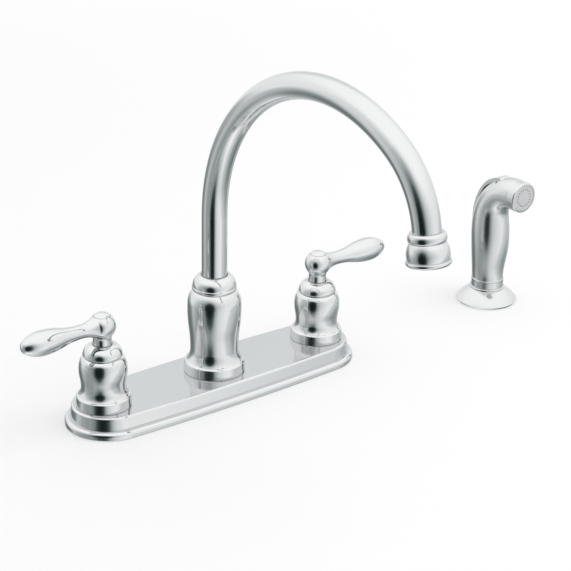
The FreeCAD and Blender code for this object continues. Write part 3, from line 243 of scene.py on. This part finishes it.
def studio_level(nodes):
    """Brightness of the studio in the direction of a ray: a height gradient times the flags."""
    way = nodes.source("TexCoord")["Generated"]
    height = nodes.add("SeparateXYZ", {0: way}).outputs["Z"]
    level = nodes.curve(nodes.maths("DEGREES", nodes.maths("ARCSINE", height)), HEIGHT_LEVELS)
    for place, stops in FLAGS:
        facing = nodes.vector_maths("DOT_PRODUCT", way, toward(*place))["Value"]
        angle = nodes.maths("DEGREES", nodes.maths("ARCCOSINE", facing))
        level = nodes.maths("MULTIPLY", level, nodes.curve(angle, stops))
    return level


def light_world():
    """White for the camera, the studio's gradient and flags for the metal, an even fill for the rest."""
    world = bpy.data.worlds.new("studio")
    bpy.context.scene.world = world
    nodes = Nodes(world)
    path = nodes.source("LightPath")
    further_bounces = nodes.maths("SUBTRACT", path["Glossy Depth"], 1.0)
    kept = nodes.maths("POWER", BOUNCE_SHARE, further_bounces)
    studio = nodes.result("Background", {"Color": cool(nodes, studio_level(nodes)), "Strength": kept})
    fill = nodes.result("Background", {"Color": WHITE, "Strength": FILL_STRENGTH})
    white = nodes.result("Background", {"Color": WHITE})
    shiny = nodes.result("MixShader", {0: path["Is Glossy Ray"], 1: fill, 2: studio})
    seen = nodes.result("MixShader", {0: path["Is Camera Ray"], 1: shiny, 2: white})
    nodes.show(seen, "OutputWorld")


# Dark card before the part, seen by the metal alone: degrees across from the studio's front, then its
# distance, height and half sizes in metres
CARD_ACROSS = -19.0
CARD_DISTANCE = 0.70
CARD_HEIGHT = 0.01
CARD_HALF = (0.265, 0.40)
# Light that the card lets through by distance from its middle in half sizes
CARD_LEVELS = ((0.0, 0.03), (0.5, 0.035), (0.65, 0.06), (0.8, 0.12), (0.95, 0.21), (1.1, 0.45),
               (1.25, 0.60), (1.55, 0.77), (2.0, 0.90), (2.6, 0.97), (3.4, 1.0))


def add_card():
    """A card that dims the reflections behind it, softly towards its rim, and casts no shadow."""
    half_across, half_up = CARD_HALF
    reach = CARD_LEVELS[-1][0]
    card = add_sheet("dark_card", half_across * reach, half_up * reach, 0.0)
    back = toward(CARD_ACROSS, 0.0)
    turn = Matrix((UP.cross(back), UP, back)).transposed()
    spot = back * CARD_DISTANCE + UP * CARD_HEIGHT
    card.matrix_world = Matrix.Translation(spot) @ turn.to_4x4()
    material = bpy.data.materials.new("grey_filter")
    nodes = Nodes(material)
    place = nodes.source("TexCoord")["Object"]
    in_halves = nodes.vector_maths("DIVIDE", place, (half_across, half_up, 1.0))["Vector"]
    far = nodes.vector_maths("LENGTH", in_halves)["Value"]
    through = cool(nodes, nodes.curve(far, CARD_LEVELS))
    nodes.show(nodes.result("BsdfTransparent", {"Color": through}))
    card.data.materials.append(material)
    card.visible_camera = False
    card.visible_diffuse = False
    card.visible_transmission = False
    card.visible_shadow = False


# Key light: place, aim and side in metres, power in watts
KEY_PLACE = Vector((0.9, -0.7, 1.8))
KEY_AIM = Vector((0.1, -0.05, 0.1))
KEY_SIDE = 1.4
KEY_POWER = 14.0


def add_key_light():
    """A large soft lamp that casts the part's shadow on the floor and that the metal doesn't mirror."""
    light = bpy.data.lights.new("key_light", "AREA")
    light.shape = "SQUARE"
    light.size = KEY_SIDE
    light.energy = KEY_POWER
    lamp = bpy.data.objects.new("key_light", light)
    lamp.location = KEY_PLACE
    lamp.rotation_euler = (KEY_AIM - KEY_PLACE).to_track_quat("-Z", "Y").to_euler()
    lamp.visible_glossy = False
    bpy.context.scene.collection.objects.link(lamp)


# Camera, fitted to the photograph in metres, degrees and pixels of its 571 x 571 frame
IMAGE_SIDE = 571
CAMERA_PLACE = Vector((-0.7487, -1.0314, 0.6402))
CAMERA_AZIMUTH = math.radians(-38.416)
CAMERA_ELEVATION = math.radians(23.474)
CAMERA_ROLL = math.radians(1.092)
FOCAL_PIXELS = 1819.7
SENSOR_MM = 36.0


def add_camera():
    """The photograph's camera, turned by its azimuth, tilted down by its elevation and rolled."""
    lens = bpy.data.cameras.new("camera")
    lens.sensor_width = SENSOR_MM
    lens.lens = FOCAL_PIXELS * SENSOR_MM / IMAGE_SIDE
    camera = bpy.data.objects.new("camera", lens)
    azimuth = Matrix.Rotation(CAMERA_AZIMUTH, 4, "Z")
    tilt = Matrix.Rotation(math.pi / 2 - CAMERA_ELEVATION, 4, "X")
    roll = Matrix.Rotation(CAMERA_ROLL, 4, "Z")
    camera.matrix_world = Matrix.Translation(CAMERA_PLACE) @ azimuth @ tilt @ roll
    bpy.context.scene.collection.objects.link(camera)
    bpy.context.scene.camera = camera


dress_nodes()
add_floor()
light_world()
add_card()
add_key_light()
add_camera()
bpy.context.scene.view_settings.view_transform = "Standard"
